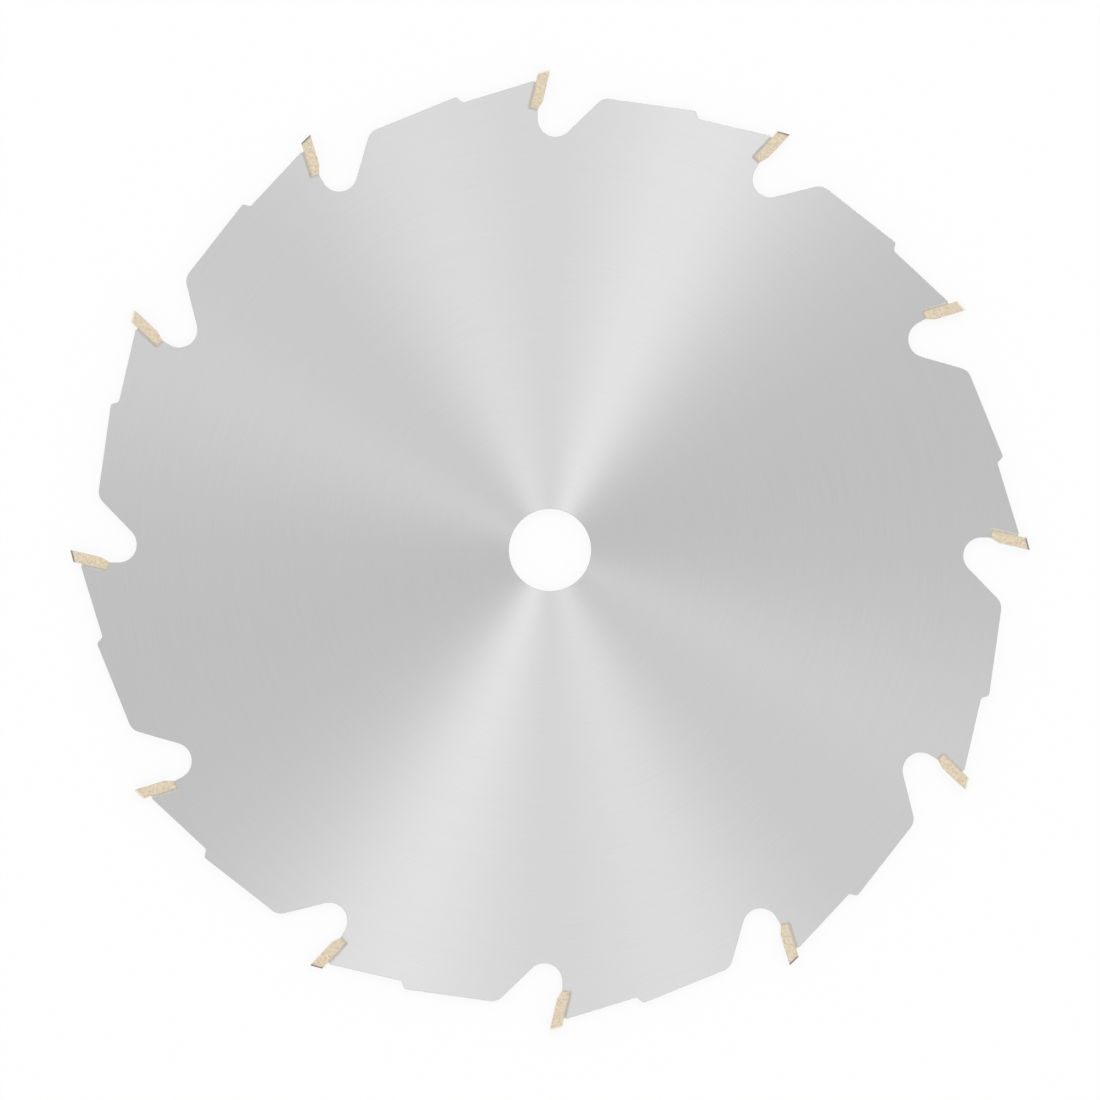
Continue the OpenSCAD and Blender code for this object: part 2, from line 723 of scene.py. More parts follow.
@dataclass(frozen=True)
class ToothOutline:
    """One pitch of the plate's outline, from the middle of a gullet's flank to the next."""

    blade: BladeSizes
    tip: TipSizes
    tooth: ToothSizes
    arc_step: float = 6.0
    arc_fewest: int = 4
    side_step: float = 2.8

    def in_tooth(self, x: float, y: float) -> Vector:
        """A point of the tip's plane, in the blade's plane at tooth 1."""
        return Vector((0.0, self.blade.tip_r)) + turned(Vector((x, y)), -self.tip.hook)

    def corners(self) -> list[Corner]:
        """Works out the corners of tooth 1.

        Returns:
            The corners, anticlockwise from its gullet to the shoulder above the next.
        """
        tip, size, pitch = self.tip, self.tooth, self.blade.pitch
        seat_front = self.in_tooth(tip.foot_front, tip.seat_floor)
        seat_inner = self.in_tooth(tip.seat_back, tip.seat_floor)
        back = self.in_tooth(tip.seat_back, -size.tip_stand)
        notch = back + size.back_len * direction(180 + size.back_slope)
        limiter = notch + size.step_len * direction(180 - size.step_slope)
        root_y = self.blade.tip_r - size.gullet_depth + size.gullet_r
        root_centre = Vector((seat_front.x + size.gullet_r, root_y))
        flank = root_centre + size.gullet_r * direction(size.flank_slope - 90)
        along = direction(size.flank_slope)
        root = meeting(seat_front, direction(-90), flank, along)
        shoulder = meeting(
            limiter, direction(180 + size.limiter_slope), turned(flank, pitch), turned(along, pitch)
        )
        return [
            Corner(root, size.gullet_r),
            Corner(seat_front, 0.0),
            Corner(seat_inner, 0.0),
            Corner(back, size.corner_r),
            Corner(notch, size.step_r),
            Corner(limiter, size.step_r),
            Corner(shoulder, size.shoulder_r),
        ]

    def rounded(self, before: Vector, corner: Corner, after: Vector) -> list[Vector]:
        """The points that round one corner.

        Args:
            before: The corner before it.
            corner: The corner itself.
            after: The corner after it.

        Returns:
            The points of its arc, or the corner alone where it is sharp.
        """
        if corner.radius == 0:
            return [corner.place]
        u = (corner.place - before).normalized()
        v = (after - corner.place).normalized()
        bend = math.degrees(math.atan2(cross(u, v), u.dot(v)))
        start = corner.place - u * corner.radius * math.tan(math.radians(abs(bend) / 2))
        side = math.copysign(90, bend)
        centre = start + corner.radius * turned(u, side)
        count = max(self.arc_fewest, math.ceil(abs(bend) / self.arc_step))
        return [centre + turned(start - centre, bend * i / count) for i in range(count + 1)]

    def line(self) -> list[Vector]:
        """Draws one pitch of the outline.

        Returns:
            Its points, both ends included.
        """
        corners, pitch = self.corners(), self.blade.pitch
        chain = [corners[-1].turned(-pitch), *corners, corners[0].turned(pitch)]
        points = [
            point
            for before, corner, after in zip(chain, chain[1:], chain[2:])
            for point in self.rounded(before.place, corner, after.place)
        ]
        start = (turned(points[-1], -pitch) + points[0]) / 2
        chain = [start, *points, turned(start, pitch)]
        sides = [spaced(a, b, self.side_step)[:-1] for a, b in zip(chain, chain[1:])]
        return [point for side in sides for point in side] + [chain[-1]]

    def inset(self, points: Sequence[Vector], depth: float) -> list[Vector]:
        """The outline moved into the plate.

        Args:
            points: The outline of one pitch.
            depth: How far it moves.

        Returns:
            As many points, each on the bisector of its corner.
        """
        ends = (turned(points[-2], -self.blade.pitch), turned(points[1], self.blade.pitch))
        chain = [ends[0], *points, ends[1]]
        moved = []
        for before, point, after in zip(chain, chain[1:], chain[2:]):
            u, v = (point - before).normalized(), (after - point).normalized()
            inward = turned(u, 90) + turned(v, 90)
            moved.append(point + inward * (2 * depth / inward.length_squared))
        return moved


# Finishes


@dataclass(frozen=True)
class GroundSteel:
    """Plate steel ground in circles, so that light stands on it in fans."""

    dark: Colour = (0.612, 0.612, 0.612)
    light: Colour = (0.712, 0.712, 0.712)
    roughness: float = 0.497
    spread: float = 0.03
    anisotropy: float = 0.94
    # A quarter turn lays the grain round the axis
    grain_turn: float = 0.25
    lines_per_mm: float = 12.0
    line_turns: float = 7.0
    line_depth: float = 0.004
    line_strength: float = 0.5
    bands_per_mm: float = 0.5
    band_turns: float = 1.4
    band_share: float = 0.1

    def material(self) -> bpy.types.Material:
        """Makes the material.

        Returns:
            The finished material.
        """
        graph = ShaderGraph("plate_ground_steel")
        x, y, _ = graph.millimetres()
        radius = (x * x + y * y) ** 0.5
        across, up = x / radius, y / radius
        lines = graph.lines(across * self.line_turns, up * self.line_turns, radius * self.lines_per_mm)
        bands = graph.noise(across * self.band_turns, up * self.band_turns, radius * self.bands_per_mm)
        tone = (1 - self.band_share) * lines + self.band_share * bands
        return graph.surface({
            "Base Color": graph.mixed(self.dark, self.light, tone),
            "Metallic": 1.0,
            "Roughness": graph.varied(self.roughness, lines, self.spread),
            "Anisotropic": self.anisotropy,
            "Anisotropic Rotation": self.grain_turn,
            "Normal": graph.bump(lines, self.line_depth, self.line_strength),
        })


@dataclass(frozen=True)
class LaserCutSteel:
    """The rim as the laser leaves it: fine upright drag lines and a little heat colour."""

    clean: Colour = (0.52, 0.52, 0.52)
    burnt: Colour = (0.36, 0.335, 0.31)
    groove: Colour = (0.30, 0.29, 0.275)
    roughness: float = 0.4
    spread: float = 0.3
    lines_per_mm: float = 6.0
    bends_per_mm: float = 0.3
    line_ramp: Stops = ((0.45, 0.0), (0.75, 0.7))
    line_depth: float = 0.03
    line_strength: float = 0.7
    heat_per_mm: float = 0.35
    heat_layers_per_mm: float = 1.2
    heat_detail: float = 1.0
    heat_ramp: Stops = ((0.4, 0.0), (0.75, 0.5))

    def material(self) -> bpy.types.Material:
        """Makes the material.

        Returns:
            The finished material.
        """
        graph = ShaderGraph("rim_laser_cut_steel")
        x, y, z = graph.millimetres()
        lines = graph.lines(x * self.lines_per_mm, y * self.lines_per_mm, z * self.bends_per_mm)
        heat = graph.noise(
            x * self.heat_per_mm, y * self.heat_per_mm, z * self.heat_layers_per_mm, self.heat_detail
        )
        tone = graph.mixed(self.clean, self.burnt, graph.ramp(heat, self.heat_ramp))
        return graph.surface({
            "Base Color": graph.mixed(tone, self.groove, graph.ramp(lines, self.line_ramp)),
            "Metallic": 1.0,
            "Roughness": graph.varied(self.roughness, lines, self.spread),
            "Normal": graph.bump(lines, self.line_depth, self.line_strength),
        })


@dataclass(frozen=True)
class BlastedCarbide:
    """The sides of a tip: pale, fine-grained carbide, blasted clean after brazing.

    Towards the edge under the ground top the colour turns paler, a painted highlight of that edge, with a
    faint darker line below it; along the back edge near the seat the colour is darker.
    """

    tip: TipSizes
    seat_top: float
    pink: Colour = (0.868, 0.718, 0.549)
    yellow: Colour = (0.823, 0.736, 0.537)
    shade: Colour = (0.47, 0.385, 0.27)
    # Painted highlight: the paler colour towards the edge under the top
    pale: Colour = (0.955, 0.925, 0.855)
    # Darker colour along the tip's back edge near the seat
    dulled: Colour = (0.560, 0.530, 0.460)
    roughness: float = 0.55
    spread: float = 0.2
    shine: float = 0.3
    grains_per_mm: float = 1.9
    grain_detail: float = 5.0
    grain_rough: float = 0.85
    grain_ramp: Stops = ((0.42, 0.0), (0.70, 0.95))
    hues_per_mm: float = 1.33
    hue_shift: float = 31.0
    hue_detail: float = 3.0
    hue_rough: float = 0.7
    hue_ramp: Stops = ((0.35, 0.0), (0.65, 1.0))
    pits_per_mm: float = 20.9
    pit_detail: float = 1.0
    pit_depth: float = 0.03
    pit_strength: float = 0.6
    # How far the painted highlight reaches below the top edge
    painted_highlight_width: float = 0.52
    # A faint darker line below the paler strip under the top edge
    dark_line_depth: float = 0.62
    dark_line_width: float = 0.25
    dark_line_share: float = 0.15
    darker_back_width: float = 0.45
    darker_back_share: float = 0.5

    def grained(self, graph: ShaderGraph) -> bpy.types.NodeSocket:
        """Draws the grain.

        Args:
            graph: The material's tree.

        Returns:
            The colour of clean carbide.
        """
        hue = graph.grain(self.hues_per_mm, self.hue_detail, self.hue_rough, self.hue_shift)
        grain = graph.grain(self.grains_per_mm, self.grain_detail, self.grain_rough)
        clean = graph.mixed(self.pink, self.yellow, graph.ramp(hue, self.hue_ramp))
        return graph.mixed(clean, self.shade, graph.ramp(grain, self.grain_ramp))

    def material(self) -> bpy.types.Material:
        """Makes the material.

        Returns:
            The finished material.
        """
        graph = ShaderGraph("tip_blasted_carbide")
        pits = graph.grain(self.pits_per_mm, self.pit_detail)
        across, up = graph.tip_plane()
        under_edge = across * math.tan(math.radians(self.tip.top_slope)) - up
        # Share of the painted highlight, strongest at the top edge and fading out below it
        ground = (1 - under_edge / self.painted_highlight_width).limited()
        # A faint darker line below the paler strip
        off_dark_line = (under_edge - self.dark_line_depth) / self.dark_line_width
        dark_line = (1 - off_dark_line * off_dark_line).limited()
        # Darker along the back edge, below the top of the seat
        along_seat = ((self.seat_top - up) / self.darker_back_width).limited()
        near_seat = (1 - (across + self.tip.thick) / self.darker_back_width).limited()
        darker_back_edge = near_seat * along_seat * self.darker_back_share
        back_darkened = graph.mixed(self.grained(graph), self.dulled, darker_back_edge)
        lined = graph.mixed(back_darkened, self.shade, dark_line * self.dark_line_share)
        return graph.surface({
            "Base Color": graph.mixed(lined, self.pale, ground),
            "Roughness": graph.varied(self.roughness, pits, self.spread),
            "Specular IOR Level": self.shine,
            "Normal": graph.bump(pits, self.pit_depth, self.pit_strength),
        })


@dataclass(frozen=True)
class LinedFace:
    """A face on which a tool has left fine lines along the plate: a reamed bore, or ground carbide."""

    name: str
    base: Colour
    lined: Colour
    metal: float
    shine: float = 0.5
    roughness: float = 0.45
    spread: float = 0.2
    lines_per_mm: float = 9.0
    bends_per_mm: float = 0.8
    line_depth: float = 0.01
    line_strength: float = 0.4

    def material(self) -> bpy.types.Material:
        """Makes the material.

        Returns:
            The finished material.
        """
        graph = ShaderGraph(self.name)
        x, y, z = graph.millimetres()
        lines = graph.lines(x * self.bends_per_mm, y * self.bends_per_mm, z * self.lines_per_mm)
        return graph.surface({
            "Base Color": graph.mixed(self.base, self.lined, lines),
            "Metallic": self.metal,
            "Roughness": graph.varied(self.roughness, lines, self.spread),
            "Specular IOR Level": self.shine,
            "Normal": graph.bump(lines, self.line_depth, self.line_strength),
        })


@dataclass(frozen=True)
class SilverSolder:
    """The solder between tip and plate, dulled by blasting."""

    dark: Colour = (0.42, 0.405, 0.365)
    light: Colour = (0.585, 0.565, 0.51)
    metal: float = 0.6
    roughness: float = 0.5
    spread: float = 0.25
    clouds_per_mm: float = 1.8
    cloud_detail: float = 3.0
    cloud_rough: float = 0.6
    pits_per_mm: float = 9.0
    pit_detail: float = 1.0
    pit_depth: float = 0.02
    pit_strength: float = 0.4

    def material(self) -> bpy.types.Material:
        """Makes the material.

        Returns:
            The finished material.
        """
        graph = ShaderGraph("braze_silver_solder")
        clouds = graph.grain(self.clouds_per_mm, self.cloud_detail, self.cloud_rough)
        pits = graph.grain(self.pits_per_mm, self.pit_detail)
        return graph.surface({
            "Base Color": graph.mixed(self.dark, self.light, clouds),
            "Metallic": self.metal,
            "Roughness": graph.varied(self.roughness, pits, self.spread),
            "Normal": graph.bump(pits, self.pit_depth, self.pit_strength),
        })


# Pieces


@dataclass(frozen=True)
class PlateMap:
    """The plate unrolled, so that the grain of the steel runs straight along its map.

    The rim's pitches lie in rows, and above them the bore, the back and the front as bands round the axis.
    Each pair gives where a wall's back and front edges lie, or a face's inner and outer edges.
    """

    blade: BladeSizes
    start: float
    left: float = 0.01
    turn: float = 0.98
    rim_row: float = 0.008
    rim: Place = (0.001, 0.007)
    bore: Place = (0.130, 0.105)
    back: Place = (0.140, 0.560)
    front: Place = (0.990, 0.570)

    def on_face(self, point: Vector) -> Place:
        """Finds a point of either face, at the first pitch.

        Args:
            point: The point on the plate.

        Returns:
            The place on the map.
        """
        flat = turned(point.xy, -self.start)
        bore_r = self.blade.bore / 2
        inner, outer = self.front if point.z > 0 else self.back
        share = (flat.length - bore_r) / (self.blade.tip_r - bore_r)
        around = math.atan2(flat.y, flat.x) / math.tau
        return self.left + self.turn * around, inner + (outer - inner) * share

    def on_wall(self, zone: PlateZone, along: float, across: float) -> Place:
        """Finds a point of the rim or the bore, at the first pitch.

        Args:
            zone: Which of the two.
            along: Share of the pitch.
            across: Share of the way from the back face to the front.

        Returns:
            The place on the map.
        """
        low, high = self.rim if zone == PlateZone.RIM else self.bore
        length = self.turn if zone == PlateZone.RIM else self.turn / self.blade.teeth
        return self.left + length * along, low + (high - low) * across


@dataclass
class BladeBody:
    """The steel plate: twelve equal teeth round a bore."""

    blade: BladeSizes
    outline: ToothOutline
    face: GroundSteel = GroundSteel()
    rim: LaserCutSteel = LaserCutSteel()
    reamed: LinedFace = LinedFace(
        "bore_reamed_steel", base=(0.52, 0.52, 0.52), lined=(0.42, 0.42, 0.41), metal=1.0,
        roughness=0.5, lines_per_mm=14.0, bends_per_mm=0.2, line_strength=0.6,
    )
    rings: tuple[float, ...] = (77.0, 62.0, 48.0, 36.0, 26.0, 18.0, 12.0)
    ring_steps: int = 16
    round_steps: int = 3
    circle_step: float = 2.7
    clear: float = 0.9
    weld: float = 0.002
    sharp_above: float = 12.0

    def edge_profile(self) -> list[tuple[float, float]]:
        """Works out the section of the rim, with its broken edges.

        Returns:
            Inset and height of its points, from the back face over the wall to the front face.
        """
        half, size = self.blade.plate / 2, self.blade.edge_break
        angles = [math.pi / 2 * i / self.round_steps for i in range(self.round_steps + 1)]
        upper = [(size * (1 - math.cos(a)), half - size * (1 - math.sin(a))) for a in angles]
        return [(inset, -height) for inset, height in reversed(upper)] + upper

    def ring(self, radius: float, start: float, z: float) -> list[Vector]:
        """Points of one pitch of a circle."""
        step = self.blade.pitch / self.ring_steps
        return [raised(radius * direction(start + i * step), z) for i in range(self.ring_steps + 1)]

    def draft(self) -> MeshDraft:
        """Draws one pitch of the plate.

        Returns:
            The mesh, with its map.
        """
        draft, line = MeshDraft(), self.outline.line()
        start = math.degrees(math.atan2(line[0].y, line[0].x))
        profile = self.edge_profile()
        rows = [
            draft.row([raised(p, z) for p in self.outline.inset(line, inset)]) for inset, z in profile
        ]
        for low, high in zip(rows, rows[1:]):
            draft.strip(low, high, PlateZone.RIM)
        bore_r = self.blade.bore / 2
        bore = [draft.row(self.ring(bore_r + inset, start, z)) for inset, z in profile]
        for low, high in zip(bore, bore[1:]):
            draft.strip(high, low, PlateZone.BORE)
        extra, triangles = self.toothed_border([draft.points[i].xy for i in rows[-1]], start)
        for outer, inner, z, front in (
            (rows[-1], bore[-1], profile[-1][1], True),
            (rows[0], bore[0], profile[0][1], False),
        ):
            circles = [draft.row(self.ring(radius, start, z)) for radius in self.rings]
            numbers = [*outer, *circles[0], *draft.row([raised(p, z) for p in extra])]
            for trio in triangles:
                draft.face([numbers[i] for i in (trio if front else trio[::-1])], PlateZone.FACE)
            for out, inn in zip(circles, [*circles[1:], inner]):
                low, high = (out, inn) if front else (inn, out)
                draft.strip(low, high, PlateZone.FACE)
        self.unroll(draft, start, rows, bore)
        return draft

    def toothed_border(
        self, outer: list[Vector], start: float
    ) -> tuple[list[Vector], list[tuple[int, ...]]]:
        """Fills one pitch of a face, from the outline to the first ring, with even triangles.

        Args:
            outer: The points along the outline.
            start: The angle that the pitch starts at.

        Returns:
            The points inside it, and the triangles by number, counted over the outline, the ring and those
            points.
        """
        ring = [point.xy for point in self.ring(self.rings[0], start, 0.0)]
        count = math.floor((self.blade.tip_r - self.rings[0]) / self.circle_step)
        radii = [self.rings[0] + self.circle_step * (i + 1) for i in range(count)]
        sides = [radius for radius in radii if radius < outer[0].length - self.clear]
        left = [radius * direction(start) for radius in sides]
        right = [radius * direction(start + self.blade.pitch) for radius in sides]
        inside = [
            point.xy for radius in radii for point in self.ring(radius, start, 0.0)[1:-1]
            if all(self.apart(point.xy, a, b) > self.clear for a, b in zip(outer, outer[1:]))
        ]
        points = [*outer, *ring, *left, *right, *inside]
        first = len(outer) + len(ring)
        loop = [
            *range(len(outer)),
            *reversed(range(first + len(left), first + len(left) + len(right))),
            *reversed(range(len(outer), first)),
            *range(first, first + len(left)),
        ]
        _, _, faces, sources, _, owners = delaunay_2d_cdt(points, [], [loop], TO_THE_HULL, TINY)
        number = [source[0] for source in sources]
        kept = [tuple(number[i] for i in face) for face, owner in zip(faces, owners) if owner]
        used = sorted({i for face in kept for i in face if i >= first})
        place = {old: first + new for new, old in enumerate(used)}
        return [points[i] for i in used], [tuple(place.get(i, i) for i in face) for face in kept]

    @staticmethod
    def apart(point: Vector, a: Vector, b: Vector) -> float:
        """How far a point lies from the straight side between a and b."""
        share = min(max(intersect_point_line(point, a, b)[1], 0.0), 1.0)
        return (point - a.lerp(b, share)).length

    def unroll(self, draft: MeshDraft, start: float, rim: list[list[int]], bore: list[list[int]]) -> None:
        """Gives each corner of each face its place on the plate's map.

        Args:
            draft: The mesh that is drawn.
            start: The angle that the pitch starts at.
            rim: The rows of points over the rim, from the back face to the front.
            bore: The same over the bore.
        """
        layout, spots = PlateMap(self.blade, start), {}
        across = shares([Vector(point) for point in self.edge_profile()])
        for rows in (rim, bore):
            along = shares([draft.points[i] for i in rows[0]])
            for row, over in zip(rows, across):
                spots.update({i: (share, over) for i, share in zip(row, along)})
        for corners, zone in zip(draft.faces, draft.zones):
            for i in corners:
                flat = zone == PlateZone.FACE
                draft.places.append(
                    layout.on_face(draft.points[i]) if flat else layout.on_wall(PlateZone(zone), *spots[i])
                )

    @staticmethod
    def mapped(graph: GeometryGraph, geometry: bpy.types.NodeSocket) -> bpy.types.NodeSocket:
        """Moves each pitch to its own part of the plate's map.

        Args:
            graph: The plate's tree.
            geometry: The pitches, each with its number.

        Returns:
            The pitches with the whole map.
        """
        pitch, on_rim = graph.attribute(PITCH), graph.attribute(ZONE).is_equal(int(PlateZone.RIM))
        shift = graph.vector(
            pitch / graph.given("Teeth") * graph.given("Map Turn") * (1 - on_rim),
            pitch * graph.given("Map Row") * on_rim,
        )
        spot = graph.node(
            "GeometryNodeInputNamedAttribute", {"data_type": "FLOAT_VECTOR"}, {"Name": BAKE_MAP}
        )
        moved = graph.node(
            "ShaderNodeVectorMath", {"operation": "ADD"}, {0: spot.outputs["Attribute"], 1: shift}
        )
        return graph.stored(geometry, BAKE_MAP, moved.outputs[0], "FLOAT2", "CORNER")

    def tree(self) -> GeometryGraph:
        """Writes the rule that sets the pitches round the axis and joins them into one plate.

        Returns:
            The tree.
        """
        graph = GeometryGraph("teeth_round_the_bore", {
            "Teeth": SocketKind.COUNT,
            **dict.fromkeys(("Weld", "Map Turn", "Map Row"), SocketKind.NUMBER),
            **dict.fromkeys(("Face", "Rim", "Bore"), SocketKind.MATERIAL),
        })
        count = graph.given("Teeth")
        spots = graph.node("GeometryNodePoints", {}, {"Count": count}).outputs[0]
        number = graph.value("GeometryNodeInputIndex", "Index")
        euler = graph.vector(z=number * math.tau / count)
        turn = graph.node("FunctionNodeEulerToRotation", {}, {0: euler})
        ring = graph.node(
            "GeometryNodeInstanceOnPoints", {},
            {"Points": spots, "Instance": graph.geometry, "Rotation": turn.outputs[0]},
        )
        counted = graph.stored(ring.outputs[0], PITCH, number, "INT", "INSTANCE")
        whole = graph.node("GeometryNodeRealizeInstances", {}, {"Geometry": counted})
        welded = graph.node(
            "GeometryNodeMergeByDistance", {},
            {"Geometry": self.mapped(graph, whole.outputs[0]), "Distance": graph.given("Weld")},
        )
        graph.finish(welded.outputs[0], {"Face": None, "Rim": PlateZone.RIM, "Bore": PlateZone.BORE})
        return graph

    def finishes(self) -> dict[str, bpy.types.Material]:
        """The materials that the tree dresses the plate in, by its inputs."""
        return {
            "Face": self.face.material(), "Rim": self.rim.material(), "Bore": self.reamed.material()
        }

    def build(self) -> list[bpy.types.Object]:
        """Builds and dresses the plate.

        Returns:
            The plate, as the only piece.
        """
        plate = self.draft().piece("steel_plate")
        self.tree().run(plate, {
            "Teeth": self.blade.teeth,
            "Weld": self.weld * MM,
            "Map Turn": PlateMap.turn,
            "Map Row": PlateMap.rim_row,
            **self.finishes(),
        })
        smooth(plate.data, self.sharp_above)
        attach(plate, BODY)
        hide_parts("blade_body")
        return [plate]


@dataclass(frozen=True)
class Facet:
    """One plane that bounds a tip, with its finish and whether it keeps a pressed edge."""

    normal: Vector
    place: Vector
    zone: TipZone
    pressed: bool = False

    def height(self, point: Vector) -> float:
        """How far a point stands above the plane."""
        return self.normal.dot(point - self.place)


@dataclass
class CarbideTips:
    """The twelve cutting tips, with tops bevelled to one side and the other by turns."""

    blade: BladeSizes
    tip: TipSizes
    side: BlastedCarbide
    # The top is ground carbide, painted darker still as painted shade of a face seen nearly edge-on from
    # above
    top: LinedFace = LinedFace(
        "tip_top_carbide_painted_shade", base=(0.165, 0.157, 0.140), lined=(0.235, 0.223, 0.196), metal=0.0, shine=0.2
    )
    rake: LinedFace = LinedFace(
        "tip_rake_carbide", base=(0.27, 0.26, 0.245), lined=(0.40, 0.39, 0.37), metal=1.0
    )
    edge_steps: int = 3
    sharp_above: float = 35.0

    def facets(self, high_side: int) -> list[Facet]:
        """The planes of a tip.

        Args:
            high_side: 1 where the top's high corner is on the front, -1 where it is on the back.

        Returns:
            The planes, with normals that point out of the tip.
        """
        tip = self.tip
        slant = Vector((tip.length - tip.rake, tip.foot_front, 0.0)).normalized()
        radial, tangential = math.radians(tip.radial_relief), math.radians(tip.tangential_relief)
        relief = Matrix.Rotation(-tangential, 3, "Y") @ Matrix.Rotation(radial, 3, "X") @ Vector((0, 0, 1))
        bevel = Matrix.Rotation(math.radians(-high_side * tip.top_bevel), 3, "X") @ Vector((0, 1, 0))
        top = Matrix.Rotation(math.radians(tip.top_slope), 3, "Z") @ bevel
        half = tip.kerf / 2
        return [
            Facet(Vector((1, 0, 0)), Vector((0, 0, 0)), TipZone.RAKE),
            Facet(top, Vector((0, 0, high_side * half)), TipZone.TOP),
            Facet(relief, Vector((0, 0, half)), TipZone.SIDE),
            Facet(Vector((relief.x, relief.y, -relief.z)), Vector((0, 0, -half)), TipZone.SIDE),
            Facet(slant, Vector((0, -tip.rake, 0)), TipZone.SIDE, True),
            Facet(Vector((0, -1, 0)), Vector((0, -tip.length, 0)), TipZone.SIDE, True),
            Facet(Vector((-1, 0, 0)), Vector((-tip.thick, 0, 0)), TipZone.SIDE, True),
        ]

    def draft(self, facets: Sequence[Facet]) -> tuple[MeshDraft, dict[frozenset[int], float]]:
        """Draws the solid that lies under all the planes.

        Args:
            facets: The planes.

        Returns:
            The mesh, and how much of the largest rounding each edge takes, by its two points.
        """
        draft, users = MeshDraft(), []
        for trio in combinations(range(len(facets)), 3):
            planes = [facets[i] for i in trio]
            matrix = Matrix([f.normal for f in planes])
            if abs(matrix.determinant()) < TINY:
                continue
            spot = matrix.inverted() @ Vector([f.normal.dot(f.place) for f in planes])
            if all(f.height(spot) < TINY for f in facets):
                draft.row([spot])
                users.append(set(trio))
        for number, facet in enumerate(facets):
            draft.face(self.around(draft.points, users, number, facet), facet.zone)
        weights = {}
        for a, b in combinations(range(len(users)), 2):
            shared = users[a] & users[b]
            if len(shared) == 2:
                pressed = all(facets[i].pressed or facets[i].zone == TipZone.SIDE for i in shared)
                weights[frozenset((a, b))] = 1.0 if pressed else self.tip.honed / self.tip.pressed
        return draft, weights

    @staticmethod
    def around(
        points: Sequence[Vector], users: Sequence[set[int]], number: int, facet: Facet
    ) -> list[int]:
        """The points of one plane, in order round its normal.

        Args:
            points: All points of the tip.
            users: The planes that each point lies on.
            number: The plane's number.
            facet: The plane.

        Returns:
            The numbers of its points, anticlockwise seen from outside.
        """
        mine = [i for i, planes in enumerate(users) if number in planes]
        centre = sum((points[i] for i in mine), Vector((0, 0, 0))) / len(mine)
        first = (points[mine[0]] - centre).normalized()
        second = facet.normal.cross(first)

        def angle(i: int) -> float:
            """Angle of a point round the plane's middle."""
            arm = points[i] - centre
            return math.atan2(arm.dot(second), arm.dot(first))

        return sorted(mine, key=angle)

    def tree(self) -> GeometryGraph:
        """Writes the rule that sets a tip in the seat of its tooth.

        Returns:
            The tree.
        """
        graph = GeometryGraph("tip_in_its_seat", {
            **TOOTH_INPUTS, **dict.fromkeys(("Side", "Top", "Rake"), SocketKind.MATERIAL),
        })
        mapped = graph.stored(graph.geometry, TIP_PLANE, graph.position(), "FLOAT2", "CORNER")
        graph.finish(at_tooth(graph, mapped), {"Side": None, "Top": TipZone.TOP, "Rake": TipZone.RAKE})
        return graph

    def round_edges(self, piece: bpy.types.Object, weights: Mapping[frozenset[int], float]) -> None:
        """Puts a bevel on a tip, which the tree's run then applies.

        Args:
            piece: The tip with sharp edges.
            weights: How much of the largest rounding each edge takes, by its two points.
        """
        rounding = piece.data.attributes.new("bevel_weight_edge", "FLOAT", "EDGE")
        for edge in piece.data.edges:
            rounding.data[edge.index].value = weights[frozenset(edge.vertices)]
        bevel = piece.modifiers.new("edges", "BEVEL")
        bevel.limit_method = "WEIGHT"
        bevel.width = self.tip.pressed * MM
        bevel.segments = self.edge_steps

    def finishes(self) -> dict[str, bpy.types.Material]:
        """The materials that the tree dresses a tip in, by its inputs."""
        return {"Side": self.side.material(), "Top": self.top.material(), "Rake": self.rake.material()}

    def build(self) -> list[bpy.types.Object]:
        """Builds and dresses the tips.

        Returns:
            The tips, from tooth 1 on.
        """
        tree, finishes, tips = self.tree(), self.finishes(), []
        for number in range(1, self.blade.teeth + 1):
            draft, weights = self.draft(self.facets(1 if number % 2 else -1))
            tip = draft.piece(f"tip_{number:02d}")
            self.round_edges(tip, weights)
            tree.run(tip, {**tooth_values(self.blade, self.tip, number), **finishes})
            smooth(tip.data, self.sharp_above)
            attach(tip, BODY)
            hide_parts(f"carbide_tip_{number:02d}")
            tips.append(tip)
        return tips


def at_tooth(graph: GeometryGraph, geometry: bpy.types.NodeSocket) -> bpy.types.NodeSocket:
    """Moves what is drawn in the tip's plane to its tooth.

    Args:
        graph: A tree with TOOTH_INPUTS.
        geometry: What is moved.

    Returns:
        The moved geometry.
    """
    leaned = graph.node("GeometryNodeTransform", {}, {
        "Geometry": geometry,
        "Rotation": graph.vector(z=graph.given("Hook") * -1.0),
        "Translation": graph.vector(y=graph.given("Radius")),
    })
    return graph.node("GeometryNodeTransform", {}, {
        "Geometry": leaned.outputs[0], "Rotation": graph.vector(z=graph.given("Turn")),
    }).outputs[0]


def tooth_values(blade: BladeSizes, tip: TipSizes, number: int) -> dict[str, float]:
    """Works out what TOOTH_INPUTS are at a tooth.

    Args:
        blade: The blade's sizes.
        tip: The tip's sizes.
        number: The tooth's number, from 1.

    Returns:
        The value of each input.
    """
    return {
        "Hook": math.radians(tip.hook),
        "Radius": blade.tip_r * MM,
        "Turn": math.radians((1 - number) * blade.pitch),
    }


